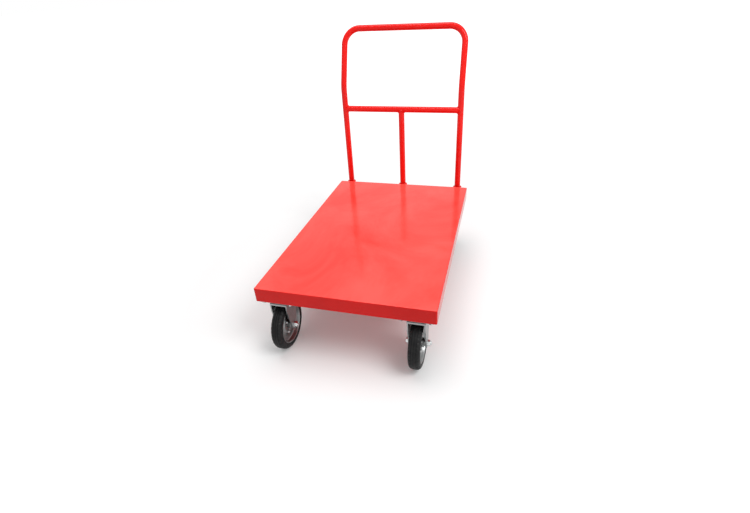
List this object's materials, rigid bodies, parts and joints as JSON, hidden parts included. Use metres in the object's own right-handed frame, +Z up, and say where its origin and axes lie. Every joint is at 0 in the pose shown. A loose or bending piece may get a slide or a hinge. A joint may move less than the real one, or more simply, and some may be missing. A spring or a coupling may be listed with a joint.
{
  "type": "platform hand cart",
  "caption": "Hand cart with a flat folded-steel deck, a bent-tube push handle with crossbar and post, rigid casters in front and swivel casters at the handle.",
  "frame": {"origin": "on the floor, at the middle of the cart's overall width and overall length", "axes": "+X to the right when looking from the open end towards the handle, +Y from the open end towards the push handle, +Z up"},
  "size_m": [0.6, 1.048, 0.929],
  "materials": {
    "red_enamel": "gloss",
    "zinc_plate": "satin",
    "bright_steel": "satin",
    "wheel_silver": "satin",
    "tyre_rubber": "matt"
  },
  "bodies": {
    "cart": {"deck_tray": "red_enamel", "crossmember_front": "red_enamel", "crossmember_middle": "red_enamel", "crossmember_rear": "red_enamel", "rail_left": "red_enamel", "rail_right": "red_enamel", "outrigger_left": "red_enamel", "outrigger_right": "red_enamel", "handle_socket_left": "red_enamel", "handle_socket_centre": "red_enamel", "handle_socket_right": "red_enamel", "push_handle": "red_enamel", "handle_crossbar": "red_enamel", "handle_post": "red_enamel", "fork_front_left": "zinc_plate", "fork_front_right": "zinc_plate", "axle_front_left": "bright_steel", "axle_front_right": "bright_steel", "caster_plate_left": "zinc_plate", "caster_plate_right": "zinc_plate", "kingpin_left": "bright_steel", "kingpin_right": "bright_steel"},
    "swivel_left": {"fork_rear_left": "zinc_plate", "axle_rear_left": "bright_steel"},
    "swivel_right": {"fork_rear_right": "zinc_plate", "axle_rear_right": "bright_steel"},
    "wheel_front_left": {"tyre_front_left": "tyre_rubber", "rim_front_left": "wheel_silver", "hub_front_left": "bright_steel"},
    "wheel_front_right": {"tyre_front_right": "tyre_rubber", "rim_front_right": "wheel_silver", "hub_front_right": "bright_steel"},
    "wheel_rear_left": {"tyre_rear_left": "tyre_rubber", "rim_rear_left": "wheel_silver", "hub_rear_left": "bright_steel"},
    "wheel_rear_right": {"tyre_rear_right": "tyre_rubber", "rim_rear_right": "wheel_silver", "hub_rear_right": "bright_steel"}
  },
  "joints": [
    {"name": "front_left_wheel_spin", "type": "hinge", "parent": "cart", "child": "wheel_front_left", "pos_m": [-0.233, -0.43402, 0.09], "axis": [1, 0, 0], "continuous": true},
    {"name": "front_right_wheel_spin", "type": "hinge", "parent": "cart", "child": "wheel_front_right", "pos_m": [0.233, -0.43402, 0.09], "axis": [1, 0, 0], "continuous": true},
    {"name": "rear_left_swivel", "type": "hinge", "parent": "cart", "child": "swivel_left", "pos_m": [-0.233, 0.36198, 0.2], "axis": [0, 0, 1], "continuous": true},
    {"name": "rear_left_wheel_spin", "type": "hinge", "parent": "swivel_left", "child": "wheel_rear_left", "pos_m": [-0.233, 0.31698, 0.09], "axis": [1, 0, 0], "continuous": true},
    {"name": "rear_right_swivel", "type": "hinge", "parent": "cart", "child": "swivel_right", "pos_m": [0.233, 0.36198, 0.2], "axis": [0, 0, 1], "continuous": true},
    {"name": "rear_right_wheel_spin", "type": "hinge", "parent": "swivel_right", "child": "wheel_rear_right", "pos_m": [0.233, 0.31698, 0.09], "axis": [1, 0, 0], "continuous": true}
  ]
}
